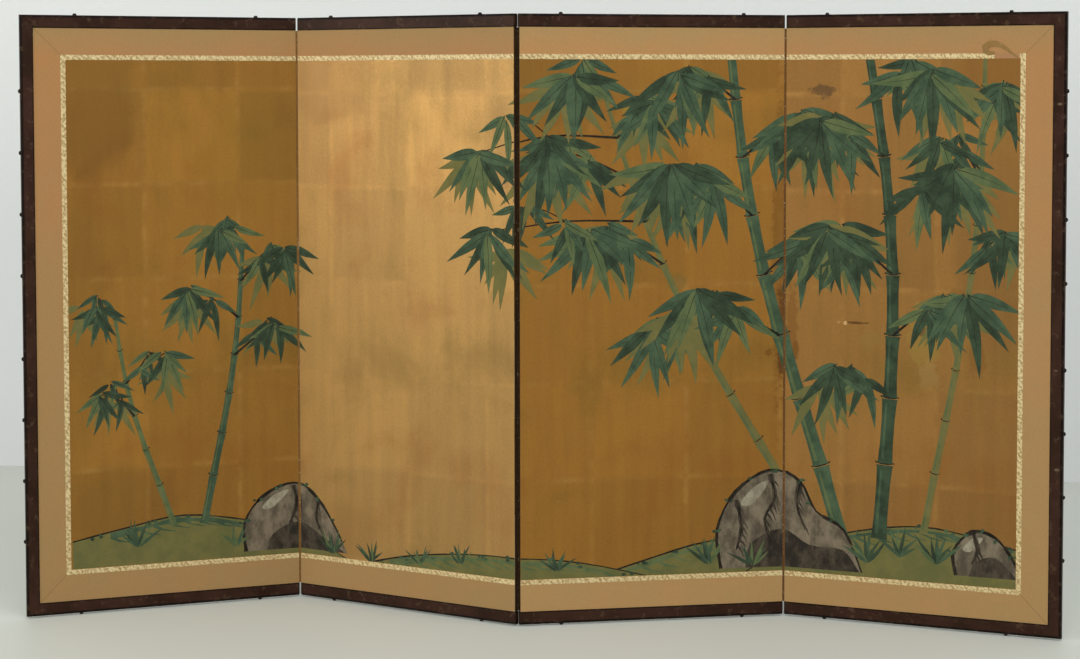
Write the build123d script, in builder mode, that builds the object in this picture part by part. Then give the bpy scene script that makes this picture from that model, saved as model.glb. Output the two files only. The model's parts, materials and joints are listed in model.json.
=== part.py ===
"""Four-panel folding screen. Millimetres, +Z up, the pictures face -Y, origin under the middle."""

from math import atan2, cos, degrees, radians, sin
import os

from build123d import *

# ---- driving dimensions -------------------------------------------------------------------
SCREEN_H = 909.0  # frame height, rail to rail
CORE_W = 403.0  # width of every panel's papered core
FRAME_W = 19.5  # face width of the lacquered frame
FRAME_T = 10.0  # depth of the lacquered frame
FOLD_ANGLES = (53.0, 41.5, 33.5)  # standing pose, from flat
FOLD_SIDES = (-1, 1, -1)  # which face each fold's creases are on: -1 front, +1 back

WOOD_T = 6.8  # cedar core
UNDERLAY_T = 0.4  # pasted layers of plain paper under the face papers
FACE_T = 0.2  # picture sheet and back paper
BORDER_T = 0.3  # silk brocade
STRIP_T = 0.4  # narrow gilt strip between the brocade and the picture
BORDER_W = 40.0
STRIP_W = 7.5

CORE_FRAME_W = 18.0  # cedar perimeter members
RIB_W = 12.0
RIBS_UP = 2  # upright ribs in each core
RIBS_ACROSS = 5
TENON_L = 6.0
TENON_T = 2.4
GLUE_LINE = 0.05  # round every tenon, lap and tongue

HINGE_ZONES = 6  # interleaved paper strips down each fold
ZONE_GAP = 1.0
LEAF_W = 18.0  # how far a strip is pasted onto a face
LINK_T = 0.3  # free paper between the two creases
CREASE_CLEAR = 0.1  # from the corners of the free paper, as it turns, to a leaf's edge
CLOSED_CLEAR = 0.3  # between two frames folded face to face
RAIL_SHORT = 1.5  # where a fold closes front to front, each rail stops this far from the edge of its core
RAIL_APART = 0.5  # where one closes back to back, from each rail's end to the fold's middle, laid flat

BEVEL_FACE = 2.6  # outer bevel of the frame, measured on the face
BEVEL_EDGE = 1.6  # the same bevel, measured on the outer edge
INNER_ROUND = 0.7
END_CUT = 1.2  # chamfer of a rail's upright arrises at a fold

NAIL_W = 1.6  # square forged shank
NAIL_TIP_W = 0.4
NAIL_POINT_L = 4.0
NAIL_BITE = 14.0  # how far a nail goes into the core
NAIL_CLEAR = 0.02
HEAD_SIDES = 12  # hammered flats round each head
HEAD_R = 3.2
HEAD_SHOULDER_R = 2.7
HEAD_LAND_R = 1.6  # worn flat on the crown, on which the screen stands
HEAD_RIM_H = 0.8
HEAD_SHOULDER_H = 1.9
HEAD_H = 2.8
RAIL_NAIL_IN = 62.5  # rail nails, from the ends of the core
STILE_NAIL_FIRST = 62.7  # stile nails, up and down from mid-height
STILE_NAIL_STEP = 92.5
STILE_NAILS_EACH_WAY = 4

KEY_L = 12.0  # loose tongue hidden in each mitre, along and across the mitre
KEY_W = 9.0
KEY_T = 2.4

# ---- derived ------------------------------------------------------------------------------
BASE = HEAD_H  # the frame hangs this far above the floor, on the lower nail heads
TOP = BASE + SCREEN_H
Z0 = BASE + FRAME_W  # core bottom
Z1 = TOP - FRAME_W  # core top
ZMID = (Z0 + Z1) / 2
NAIL_HOLE = NAIL_W + 2 * NAIL_CLEAR
KEY_SLOT = (KEY_W + 2 * GLUE_LINE, KEY_L + 2 * GLUE_LINE, KEY_T + 2 * GLUE_LINE)
HALF_WOOD = WOOD_T / 2
HALF_UNDER = HALF_WOOD + UNDERLAY_T
HALF_FRAME = FRAME_T / 2
LINK_R = LINK_T / 2
AXIS_Y = HALF_UNDER - LINK_R  # crease axes, from the middle plane of a panel
LEAF_END = LINK_R + CREASE_CLEAR  # paper stops this far from a crease axis
GAP = FRAME_T - 2 * AXIS_Y + CLOSED_CLEAR  # between the two creases of one fold
ZONE_H = (Z1 - Z0) / HINGE_ZONES
LAST = len(FOLD_ANGLES)  # index of the last panel
FRONT, BACK = -1, 1


# ---- plan ---------------------------------------------------------------------------------
def along(turn):
    return Vector(cos(radians(turn)), sin(radians(turn)), 0)


def backward(turn):
    return Vector(-sin(radians(turn)), cos(radians(turn)), 0)


def plan(first_turn, start=Vector(0, 0, 0)):
    """Each panel's start point on its middle plane and its turn, and each fold's link: middle and turn."""
    panels, links = [(start, first_turn)], []
    for angle, side in zip(FOLD_ANGLES, FOLD_SIDES):
        at, here = panels[-1]
        there = here + side * angle
        crease = at + along(here) * CORE_W + backward(here) * side * AXIS_Y
        link_turn = (here + there) / 2
        links.append((crease + along(link_turn) * GAP / 2, link_turn))
        next_crease = crease + along(link_turn) * GAP
        panels.append((next_crease - backward(there) * side * AXIS_Y, there))
    return panels, links


def rail_short(fold):
    """How far a rail's end is from the edge of its core at a fold; less than nothing where it runs past."""
    return RAIL_SHORT if FOLD_SIDES[fold] == FRONT else RAIL_APART - GAP / 2


def frame_reach(i):
    """How far panel i's rails and stile reach along it."""
    low = -FRAME_W if i == 0 else rail_short(i - 1)
    high = CORE_W + FRAME_W if i == LAST else CORE_W - rail_short(i)
    return low, high


def outermost(panels):
    """The plan points that can lie furthest out: the frame's corners and the side nails' crowns."""
    points = []
    for i, (at, turn) in enumerate(panels):
        for x, inward, outer in ((frame_reach(i)[0], 1, i == 0), (frame_reach(i)[1], -1, i == LAST)):
            cut_x, cut_y = (BEVEL_FACE, BEVEL_EDGE) if outer else (END_CUT, END_CUT)
            for side in (FRONT, BACK):
                points.append(at + along(turn) * (x + inward * cut_x) + backward(turn) * side * HALF_FRAME)
                points.append(at + along(turn) * x + backward(turn) * side * (HALF_FRAME - cut_y))
                if outer:
                    crown = along(turn) * (x - inward * HEAD_H)
                    points.append(at + crown + backward(turn) * side * HEAD_LAND_R)
    return points


def standing_plan():
    """The plan with its two outer ends level along X, centred on the origin."""
    panels, _ = plan(0.0)
    left = panels[0][0] - along(panels[0][1]) * FRAME_W
    right = panels[LAST][0] + along(panels[LAST][1]) * (CORE_W + FRAME_W)
    level = -degrees(atan2(right.Y - left.Y, right.X - left.X))
    points = outermost(plan(level)[0])
    mid_x = (min(p.X for p in points) + max(p.X for p in points)) / 2
    mid_y = (min(p.Y for p in points) + max(p.Y for p in points)) / 2
    return plan(level, Vector(-mid_x, -mid_y, 0))


PANELS, LINKS = standing_plan()


def panel_point(i, x, y, z):
    at, turn = PANELS[i]
    return at + along(turn) * x + backward(turn) * y + Vector(0, 0, z)


def floor_plane(i, z=0.0):
    """Level plane on panel i: x along the panel, y to its back."""
    return Plane(origin=panel_point(i, 0, 0, z), x_dir=along(PANELS[i][1]), z_dir=(0, 0, 1))


def face_plane(i, y):
    """Upright plane on panel i at depth y: x along the panel, y up, normal to the front."""
    _, turn = PANELS[i]
    return Plane(origin=panel_point(i, 0, y, 0), x_dir=along(turn), z_dir=backward(turn) * -1)


def cross_plane(i, x, z=0.0):
    """Upright plane across panel i: x to the back, y up, normal along the panel."""
    _, turn = PANELS[i]
    return Plane(origin=panel_point(i, x, 0, z), x_dir=backward(turn), z_dir=along(turn))


def save(part, name):
    part.label = name
    export_step(part, f"parts/{name}.step")


# ---- places on a panel --------------------------------------------------------------------
def wood_ends(i):
    """The cedar stops one paper short of the core's edge at a fold."""
    return (0.0 if i == 0 else UNDERLAY_T), (CORE_W if i == LAST else CORE_W - UNDERLAY_T)


def sheet_ends(i):
    """The face papers stop just short of a crease."""
    return (0.0 if i == 0 else LEAF_END), (CORE_W if i == LAST else CORE_W - LEAF_END)


def rib_places(i):
    """The middles of panel i's upright ribs and of its cross ribs."""
    spans = ((*wood_ends(i), RIBS_UP), (Z0, Z1, RIBS_ACROSS))
    places = []
    for low, high, count in spans:
        clear = high - low - 2 * CORE_FRAME_W - count * RIB_W
        step = clear / (count + 1) + RIB_W
        first = low + CORE_FRAME_W + step - RIB_W / 2
        places.append([first + n * step for n in range(count)])
    return places


def zone(k):
    """Bottom and top of the hinge's paper strip k."""
    return Z0 + k * ZONE_H + ZONE_GAP / 2, Z0 + (k + 1) * ZONE_H - ZONE_GAP / 2


def folds_of(i):
    """Panel i's folded edges: (x of the edge, outward sign, crease face, first zone of its plain leaf)."""
    edges = []
    if i > 0:
        edges.append((0.0, -1, FOLD_SIDES[i - 1], 1))
    if i < LAST:
        edges.append((CORE_W, 1, FOLD_SIDES[i], 0))
    return edges


def stile_nail_heights():
    steps = [STILE_NAIL_FIRST + n * STILE_NAIL_STEP for n in range(STILE_NAILS_EACH_WAY)]
    return [ZMID - s for s in steps] + [ZMID + s for s in steps]


RAIL_NAILS = (RAIL_NAIL_IN, CORE_W - RAIL_NAIL_IN)


# ---- cedar core ---------------------------------------------------------------------------
def core_frame(i):
    """Cedar perimeter: two stiles, and two rails tenoned between them, mortised for the ribs."""
    w0, w1 = wood_ends(i)
    inner0, inner1 = w0 + CORE_FRAME_W, w1 - CORE_FRAME_W
    ups, acrosses = rib_places(i)
    rail_mids = (Z0 + CORE_FRAME_W / 2, Z1 - CORE_FRAME_W / 2)
    slot_t = TENON_T + 2 * GLUE_LINE
    with BuildPart() as members:
        with BuildSketch(face_plane(i, HALF_WOOD)):
            with Locations((w0 + CORE_FRAME_W / 2, ZMID), (w1 - CORE_FRAME_W / 2, ZMID)):
                Rectangle(CORE_FRAME_W, Z1 - Z0)
        extrude(amount=WOOD_T)
        with BuildSketch(face_plane(i, slot_t / 2)):
            for x in (inner0, inner1):
                with Locations(*[(x, z) for z in acrosses]):
                    Rectangle(2 * (TENON_L + GLUE_LINE), RIB_W + 2 * GLUE_LINE)
                with Locations(*[(x, z) for z in rail_mids]):
                    Rectangle(2 * (TENON_L + GLUE_LINE), RIB_W + 2 * GLUE_LINE)
        extrude(amount=slot_t, mode=Mode.SUBTRACT)
        if i in (0, LAST):
            mouth, into = (w0, 1) if i == 0 else (w1, -1)
            with BuildSketch(cross_plane(i, mouth)):
                with Locations(*[(0, z) for z in stile_nail_heights()]):
                    Rectangle(NAIL_HOLE, NAIL_HOLE)
            extrude(amount=into * (NAIL_BITE + NAIL_CLEAR), mode=Mode.SUBTRACT)
        with BuildSketch(face_plane(i, HALF_WOOD)):
            with Locations(*[((w0 + w1) / 2, z) for z in rail_mids]):
                Rectangle(inner1 - inner0 - 2 * GLUE_LINE, CORE_FRAME_W)
        extrude(amount=WOOD_T)
        with BuildSketch(face_plane(i, TENON_T / 2)):
            with Locations(*[((w0 + w1) / 2, z) for z in rail_mids]):
                Rectangle(inner1 - inner0 + 2 * TENON_L, RIB_W)
        extrude(amount=TENON_T)
        with BuildSketch(face_plane(i, slot_t / 2)):
            for z in (Z0 + CORE_FRAME_W, Z1 - CORE_FRAME_W):
                with Locations(*[(x, z) for x in ups]):
                    Rectangle(RIB_W + 2 * GLUE_LINE, 2 * (TENON_L + GLUE_LINE))
        extrude(amount=slot_t, mode=Mode.SUBTRACT)
        for mouth, into in ((Z0, 1), (Z1, -1)):
            with BuildSketch(floor_plane(i, mouth)):
                with Locations(*[(x, 0) for x in RAIL_NAILS]):
                    Rectangle(NAIL_HOLE, NAIL_HOLE)
            extrude(amount=into * (NAIL_BITE + NAIL_CLEAR), mode=Mode.SUBTRACT)
    save(members.part, f"panel_{i + 1}_core_frame")


def core_lattice(i):
    """Ribs with stub tenons. Uprights are halved at the back and cross ribs at the front, where they meet."""
    w0, w1 = wood_ends(i)
    inner0, inner1 = w0 + CORE_FRAME_W + GLUE_LINE, w1 - CORE_FRAME_W - GLUE_LINE
    low, high = Z0 + CORE_FRAME_W + GLUE_LINE, Z1 - CORE_FRAME_W - GLUE_LINE
    ups, acrosses = rib_places(i)
    stub = TENON_L - GLUE_LINE
    with BuildPart() as ribs:
        with BuildSketch(face_plane(i, HALF_WOOD)):
            with Locations(*[(x, ZMID) for x in ups]):
                Rectangle(RIB_W, high - low)
        extrude(amount=WOOD_T)
        with BuildSketch(face_plane(i, TENON_T / 2)):
            with Locations(*[(x, ZMID) for x in ups]):
                Rectangle(RIB_W, high - low + 2 * stub)
        extrude(amount=TENON_T)
        with BuildSketch(face_plane(i, HALF_WOOD)):
            with Locations(*[(x, z) for x in ups for z in acrosses]):
                Rectangle(RIB_W, RIB_W + 2 * GLUE_LINE)
        extrude(amount=HALF_WOOD, mode=Mode.SUBTRACT)
        with BuildSketch(face_plane(i, HALF_WOOD)):
            with Locations(*[((w0 + w1) / 2, z) for z in acrosses]):
                Rectangle(inner1 - inner0, RIB_W)
        extrude(amount=HALF_WOOD - GLUE_LINE)
        with BuildSketch(face_plane(i, HALF_WOOD)):
            with Locations(*[((w0 + w1) / 2, z) for z in acrosses]):
                Rectangle(inner1 - inner0, RIB_W)
            with Locations(*[(x, z) for x in ups for z in acrosses]):
                Rectangle(RIB_W + 2 * GLUE_LINE, RIB_W, mode=Mode.SUBTRACT)
        extrude(amount=WOOD_T)
        with BuildSketch(face_plane(i, TENON_T / 2)):
            for x in (inner0 - stub / 2, inner1 + stub / 2):
                with Locations(*[(x, z) for z in acrosses]):
                    Rectangle(stub, RIB_W)
        extrude(amount=TENON_T)
    save(ribs.part, f"panel_{i + 1}_core_lattice")


# ---- papers -------------------------------------------------------------------------------
def underlay_papers(i):
    """Plain paper layers on both faces of the core, cut back where a hinge strip is pasted down."""
    x0, x1 = sheet_ends(i)
    cut = LEAF_W + GLUE_LINE
    with BuildPart() as layers:
        for face in (FRONT, BACK):
            with BuildSketch(face_plane(i, HALF_UNDER if face == BACK else -HALF_WOOD)):
                with Locations(((x0 + x1) / 2, ZMID)):
                    Rectangle(x1 - x0, Z1 - Z0)
                for edge, out, side, first in folds_of(i):
                    for k in range(HINGE_ZONES):
                        if (k % 2 == first) == (face == side):
                            low, high = zone(k)
                            with Locations((edge - out * cut / 2, (low + high) / 2)):
                                Rectangle(cut, high - low + 2 * GLUE_LINE, mode=Mode.SUBTRACT)
            extrude(amount=UNDERLAY_T)
    save(layers.part, f"panel_{i + 1}_underlay_papers")


def hinge_leaves(i):
    """The pasted ends of the hinge strips: plain leaves, and leaves that wrap the edge of the core."""
    for edge, out, side, first in folds_of(i):
        with BuildPart() as leaves:
            for k in range(HINGE_ZONES):
                low, high = zone(k)
                with BuildSketch(floor_plane(i, low)):
                    face_y = side * (HALF_WOOD + UNDERLAY_T / 2)
                    if k % 2 == first:
                        width = LEAF_W - LEAF_END
                        with Locations((edge - out * (LEAF_END + width / 2), face_y)):
                            Rectangle(width, UNDERLAY_T)
                    else:
                        with Locations((edge - out * UNDERLAY_T / 2, -side * UNDERLAY_T / 2)):
                            Rectangle(UNDERLAY_T, WOOD_T + UNDERLAY_T)
                        with Locations((edge - out * LEAF_W / 2, -face_y)):
                            Rectangle(LEAF_W, UNDERLAY_T)
                        bend = vertices().sort_by_distance((edge, -side * HALF_UNDER))[0]
                        fillet(bend, radius=UNDERLAY_T)
                extrude(amount=high - low)
        name = "left" if out < 0 else "right"
        save(leaves.part, f"panel_{i + 1}_{name}_hinge_leaves")


def inside_border(i, margin):
    """The face inside a margin from the frame, open to the folds: (middle x, width, height)."""
    x0, x1 = sheet_ends(i)
    x0 += margin if i == 0 else 0
    x1 -= margin if i == LAST else 0
    return (x0 + x1) / 2, x1 - x0, Z1 - Z0 - 2 * margin


def ring(i, outer_margin, inner_margin, thickness, name):
    """A strip of cloth or paper that follows the frame, mitred at its corners and open to the folds."""
    with BuildPart() as strip:
        with BuildSketch(face_plane(i, -HALF_UNDER)):
            for margin, mode in ((outer_margin, Mode.ADD), (inner_margin, Mode.SUBTRACT)):
                mid, width, height = inside_border(i, margin)
                with Locations((mid, ZMID)):
                    Rectangle(width, height, mode=mode)
        extrude(amount=thickness)
    save(strip.part, f"panel_{i + 1}_{name}")


def picture_sheet(i):
    """Gold-leafed picture sheet inside the gilt strip."""
    mid, width, height = inside_border(i, BORDER_W + STRIP_W)
    with BuildPart() as sheet:
        with BuildSketch(face_plane(i, -HALF_UNDER)):
            with Locations((mid, ZMID)):
                Rectangle(width, height)
        extrude(amount=FACE_T)
    save(sheet.part, f"panel_{i + 1}_picture_sheet")


def back_paper(i):
    x0, x1 = sheet_ends(i)
    with BuildPart() as sheet:
        with BuildSketch(face_plane(i, HALF_UNDER + FACE_T)):
            with Locations(((x0 + x1) / 2, ZMID)):
                Rectangle(x1 - x0, Z1 - Z0)
        extrude(amount=FACE_T)
    save(sheet.part, f"panel_{i + 1}_back_paper")


# ---- lacquered frame ----------------------------------------------------------------------
def frame_section(outward):
    """The frame's section: x is the depth, and y leaves the core."""
    edge, shoulder = outward * FRAME_W, outward * (FRAME_W - BEVEL_FACE)
    flat = HALF_FRAME - BEVEL_EDGE
    with BuildSketch() as section:
        with BuildLine():
            Polyline(
                (-HALF_FRAME, 0),
                (-HALF_FRAME, shoulder),
                (-flat, edge),
                (flat, edge),
                (HALF_FRAME, shoulder),
                (HALF_FRAME, 0),
                close=True,
            )
        make_face()
        fillet(vertices().group_by(Axis.Y)[0 if outward > 0 else -1], radius=INNER_ROUND)
    return section.sketch


def mitre_plane(i, side, end):
    """45 degree plane through an outer corner, facing the stile. side: -1 left; end: -1 foot."""
    _, turn = PANELS[i]
    corner = panel_point(i, 0.0 if side < 0 else CORE_W, 0, Z0 if end < 0 else Z1)
    return Plane(origin=corner, x_dir=backward(turn), z_dir=along(turn) * side - Vector(0, 0, end))


def key_plane(i, side, end):
    """The middle of a mitre: x out along the mitre, normal to the front."""
    _, turn = PANELS[i]
    half = FRAME_W / 2
    x, z = (0.0 if side < 0 else CORE_W) + side * half, (Z0 if end < 0 else Z1) + end * half
    diagonal = along(turn) * side + Vector(0, 0, end)
    return Plane(origin=panel_point(i, x, 0, z), x_dir=diagonal, z_dir=backward(turn) * -1)


def outer_side(i):
    """-1 if panel i carries the left stile, +1 for the right one, 0 for neither."""
    return -1 if i == 0 else 1 if i == LAST else 0


def rail(i, end):
    """Top or bottom rail: mitred to the stile at an outer end, square with cut arrises at a fold."""
    low, high = frame_reach(i)
    side = outer_side(i)
    with BuildPart() as bar:
        with BuildSketch(cross_plane(i, low, Z0 if end < 0 else Z1)):
            add(frame_section(end))
        extrude(amount=high - low)
        with BuildSketch(floor_plane(i, BASE if end < 0 else Z1)):
            with Locations(((low + high) / 2, 0)):
                Rectangle(high - low, FRAME_T)
            corners = vertices().sort_by(Axis.X)
            if side < 0:
                corners = corners[2:]
            if side > 0:
                corners = corners[:2]
            chamfer(corners, length=END_CUT)
        extrude(amount=FRAME_W, mode=Mode.INTERSECT)
        if side:
            split(bisect_by=mitre_plane(i, side, end), keep=Keep.BOTTOM)
            with BuildSketch(key_plane(i, side, end)):
                Rectangle(*KEY_SLOT[:2])
            extrude(amount=KEY_SLOT[2] / 2, both=True, mode=Mode.SUBTRACT)
        with BuildSketch(floor_plane(i, BASE if end < 0 else Z1)):
            with Locations(*[(x, 0) for x in RAIL_NAILS]):
                Rectangle(NAIL_HOLE, NAIL_HOLE)
        extrude(amount=FRAME_W, mode=Mode.SUBTRACT)
    save(bar.part, f"panel_{i + 1}_{'bottom' if end < 0 else 'top'}_rail")


def stile(i):
    """Upright of the frame at an outer end of the screen, mitred top and bottom."""
    side = outer_side(i)
    x = 0.0 if side < 0 else CORE_W
    _, turn = PANELS[i]
    with BuildPart() as bar:
        with BuildSketch(Plane(origin=panel_point(i, x, 0, TOP), x_dir=backward(turn), z_dir=(0, 0, -1))):
            add(frame_section(side))
        extrude(amount=SCREEN_H)
        for end in (-1, 1):
            split(bisect_by=mitre_plane(i, side, end), keep=Keep.TOP)
            with BuildSketch(key_plane(i, side, end)):
                Rectangle(*KEY_SLOT[:2])
            extrude(amount=KEY_SLOT[2] / 2, both=True, mode=Mode.SUBTRACT)
        with BuildSketch(cross_plane(i, x + min(side, 0) * FRAME_W)):
            with Locations(*[(0, z) for z in stile_nail_heights()]):
                Rectangle(NAIL_HOLE, NAIL_HOLE)
        extrude(amount=FRAME_W, mode=Mode.SUBTRACT)
    save(bar.part, f"panel_{i + 1}_stile")


def mitre_keys(i):
    with BuildPart() as keys:
        for end in (-1, 1):
            with BuildSketch(key_plane(i, outer_side(i), end)):
                Rectangle(KEY_W, KEY_L)
            extrude(amount=KEY_T / 2, both=True)
    save(keys.part, f"panel_{i + 1}_mitre_keys")


# ---- nails --------------------------------------------------------------------------------
def drive_nails(seats, across, outward, name):
    """Forged nails, each with its head on its seat: square shank, drawn point and hammered crown."""
    crown = ((0.0, HEAD_R), (HEAD_RIM_H, HEAD_R), (HEAD_SHOULDER_H, HEAD_SHOULDER_R), (HEAD_H, HEAD_LAND_R))
    point_at = -(FRAME_W + NAIL_BITE - NAIL_POINT_L)
    with BuildPart() as nails:
        for seat in seats:
            seated = Plane(origin=seat, x_dir=across, z_dir=outward)
            for height, width in ((0.0, NAIL_W), (point_at, NAIL_W), (point_at - NAIL_POINT_L, NAIL_TIP_W)):
                with BuildSketch(seated.offset(height)):
                    Rectangle(width, width)
            loft(ruled=True)
            for height, radius in crown:
                with BuildSketch(seated.offset(height)):
                    RegularPolygon(radius, HEAD_SIDES)
            loft(ruled=True)
    save(nails.part, name)


def rail_nails(i, end):
    seats = [panel_point(i, x, 0, BASE if end < 0 else TOP) for x in RAIL_NAILS]
    name = "foot" if end < 0 else "head"
    drive_nails(seats, along(PANELS[i][1]), Vector(0, 0, end), f"panel_{i + 1}_{name}_nails")


def stile_nails(i):
    side = outer_side(i)
    x = -FRAME_W if side < 0 else CORE_W + FRAME_W
    seats = [panel_point(i, x, 0, z) for z in stile_nail_heights()]
    _, turn = PANELS[i]
    drive_nails(seats, backward(turn), along(turn) * side, f"panel_{i + 1}_stile_nails")


# ---- folds --------------------------------------------------------------------------------
def hinge_links(fold):
    """The free paper of every strip in one fold, from crease to crease."""
    middle, turn = LINKS[fold]
    with BuildPart() as links:
        for k in range(HINGE_ZONES):
            low, high = zone(k)
            with BuildSketch(Plane(origin=middle + Vector(0, 0, low), x_dir=along(turn), z_dir=(0, 0, 1))):
                Rectangle(GAP, LINK_T)
            extrude(amount=high - low)
    save(links.part, f"fold_{fold + 1}_hinge_links")


def main():
    os.makedirs("parts", exist_ok=True)
    for i in range(LAST + 1):
        core_frame(i)
        core_lattice(i)
        underlay_papers(i)
        hinge_leaves(i)
        ring(i, 0.0, BORDER_W, BORDER_T, "brocade_border")
        ring(i, BORDER_W, BORDER_W + STRIP_W, STRIP_T, "gilt_strip")
        picture_sheet(i)
        back_paper(i)
        for end in (-1, 1):
            rail(i, end)
            rail_nails(i, end)
        if outer_side(i):
            stile(i)
            mitre_keys(i)
            stile_nails(i)
    for fold in range(LAST):
        hinge_links(fold)


main()
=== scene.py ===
"""Looks, lights and camera of a four-panel byobu, a folding screen of gold-leafed paper in lacquered frames.

Everything is in metres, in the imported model's frame: x to the viewer's right, y away from the viewer, z up.
A place on a panel is (along, up): metres from the left end of its core, and metres above the floor.
"""

import json
import math
import random

import bpy
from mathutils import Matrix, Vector


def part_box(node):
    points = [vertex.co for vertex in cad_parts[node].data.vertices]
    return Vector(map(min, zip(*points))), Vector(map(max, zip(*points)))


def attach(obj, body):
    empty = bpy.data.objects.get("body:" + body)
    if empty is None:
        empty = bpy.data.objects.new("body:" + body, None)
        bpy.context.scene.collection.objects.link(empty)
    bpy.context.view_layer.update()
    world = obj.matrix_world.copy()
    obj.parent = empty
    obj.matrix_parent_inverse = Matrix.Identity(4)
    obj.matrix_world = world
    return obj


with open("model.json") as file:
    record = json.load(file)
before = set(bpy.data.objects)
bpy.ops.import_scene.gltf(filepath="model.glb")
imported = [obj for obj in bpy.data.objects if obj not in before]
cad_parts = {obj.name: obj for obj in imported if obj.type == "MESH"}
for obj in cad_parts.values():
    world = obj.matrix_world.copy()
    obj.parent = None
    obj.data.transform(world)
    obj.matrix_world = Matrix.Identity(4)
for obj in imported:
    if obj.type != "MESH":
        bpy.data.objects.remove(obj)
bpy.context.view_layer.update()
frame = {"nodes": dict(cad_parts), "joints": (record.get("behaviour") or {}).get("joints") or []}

MM = 0.001
PANELS = (1, 2, 3, 4)
scene = bpy.context.scene


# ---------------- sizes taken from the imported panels

LINING_MIDDLE = 3.9 * MM  # from a panel's middle plane to the middle of its lining paper
PAPER_FACE = 4.0 * MM  # from the middle plane to the face of the gold-leafed sheet


def panel_plan(number):
    """A panel's left end on its middle plane and its turn about z, from its lining paper's four corners."""
    lining = frame["nodes"][f"panel_{number}_back_paper"].data
    corners = sorted({(round(v.co.x, 6), round(v.co.y, 6)) for v in lining.vertices})
    left = (Vector(corners[0]) + Vector(corners[1])) / 2
    right = (Vector(corners[-1]) + Vector(corners[-2])) / 2
    along = (right - left).normalized()
    outward = Vector((along.y, -along.x))
    return left + outward * LINING_MIDDLE, math.atan2(along.y, along.x), (right - left).length


PLANS = {number: panel_plan(number) for number in PANELS}
CORE_LOW, CORE_HIGH = (corner.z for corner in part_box("panel_1_back_paper"))
SHEET_LOW, SHEET_HIGH = (corner.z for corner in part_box("panel_1_picture_sheet"))
CORE_WIDTH = PLANS[1][2]
CORE_MIDDLE = (CORE_LOW + CORE_HIGH) / 2
BORDER = SHEET_LOW - CORE_LOW  # brocade and gilt strip together
FRAME_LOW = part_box("panel_1_bottom_rail")[0].z
FRAME_WIDTH = CORE_LOW - FRAME_LOW
BEVEL_FACE = 2.6 * MM  # the frame's outer bevel, measured on its face


# ---------------- colours and nodes

NOISE_SPAN = {"From Min": 0.3, "From Max": 0.7}  # nearly all of a noise's values lie in here
NOISE_CORE = {"From Min": 0.35, "From Max": 0.65}  # and most of them in here


def linear(colour):
    """An sRGB hex colour as linear red, green, blue and alpha."""
    parts = [int(colour[i : i + 2], 16) / 255 for i in (1, 3, 5)]
    return (*(p / 12.92 if p <= 0.04045 else ((p + 0.055) / 1.055) ** 2.4 for p in parts), 1.0)


def wire(node, inputs):
    """Sets a node's inputs, by name from a dictionary, or from a list to its working inputs in their order.

    A node given as a value stands for its first working output, and text for an sRGB hex colour.
    """
    if isinstance(inputs, list):
        working = [place for place, socket in enumerate(node.inputs) if socket.enabled]
        inputs = dict(zip(working, inputs))
    for key, value in inputs.items():
        if isinstance(value, str):
            value = linear(value)
        if isinstance(value, bpy.types.Node):
            value = next(output for output in value.outputs if output.enabled)
        if isinstance(value, bpy.types.NodeSocket):
            node.id_data.links.new(value, node.inputs[key])
        else:
            node.inputs[key].default_value = value


def add(tree, kind, inputs=None, **settings):
    """Adds a node, with its settings first and then its inputs."""
    made = tree.nodes.new("ShaderNode" + kind)
    for name, value in settings.items():
        setattr(made, name, value)
    wire(made, inputs or {})
    return made


def panel_place(tree, number):
    """The place on a panel: metres along it, behind its middle plane and up."""
    start, turn, _ = PLANS[number]
    seen = add(tree, "TexCoord").outputs["Object"]
    placing = {"Vector": seen, "Location": (start.x, start.y, 0), "Rotation": (0, 0, turn)}
    return add(tree, "Mapping", placing, vector_type="TEXTURE")


def new_finish(name, constants, panel=None):
    """A material, its nodes, its main shader with constants set, and the place on a panel or in the whole."""
    finish = bpy.data.materials.new(f"{name}_{panel}" if panel else name)
    finish.use_nodes = True
    tree = finish.node_tree
    tree.nodes.clear()
    shader = add(tree, "BsdfPrincipled", constants)
    add(tree, "OutputMaterial", {"Surface": shader})
    place = panel_place(tree, panel) if panel else add(tree, "TexCoord").outputs["Object"]
    return finish, tree, shader, place


def dress(tree, shader, colour, height, strength, depth):
    """Gives a shader its colour and its relief: a height pattern, how strong it is and its depth in mm."""
    relief = add(tree, "Bump", {"Strength": strength, "Distance": depth * MM, "Height": height})
    wire(shader, {"Base Color": colour, "Normal": relief})


def along_and_up(tree, place):
    """The first and last parts of a place."""
    split = add(tree, "SeparateXYZ", [place])
    return split.outputs[0], split.outputs[2]


def apart(tree, value, other):
    """How far two values are apart."""
    difference = add(tree, "Math", [value, other], operation="SUBTRACT")
    return add(tree, "Math", [difference], operation="ABSOLUTE")


def tinted(tree, colour, tint, pattern, none_at, most_at, most=1.0):
    """Lays a tint softly over a colour: none of it where a pattern has one value, and the most at another."""
    limits = {"Value": pattern, "From Min": none_at, "From Max": most_at, "To Max": most}
    cover = add(tree, "MapRange", limits, interpolation_type="SMOOTHSTEP")
    return add(tree, "Mix", [cover, colour, tint], data_type="RGBA")


def marked(tree, colour, place, ragged, mark):
    """Lays one mark over a colour: an oval with a ragged edge, at (along, up) in millimetres."""
    along, up, half_along, half_up, tint, strength = mark
    offset = add(tree, "VectorMath", [place, (along * MM, 0, up * MM)], operation="SUBTRACT")
    oval = (half_along * MM, 1.0, half_up * MM)
    share = add(tree, "VectorMath", [offset, oval], operation="DIVIDE")
    reach = add(tree, "VectorMath", [share], operation="LENGTH")
    torn = add(tree, "Math", [reach, ragged], operation="ADD")
    return tinted(tree, colour, tint, torn, 1.5, 0.9, strength)


# ---------------- gold-leafed sheet

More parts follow.
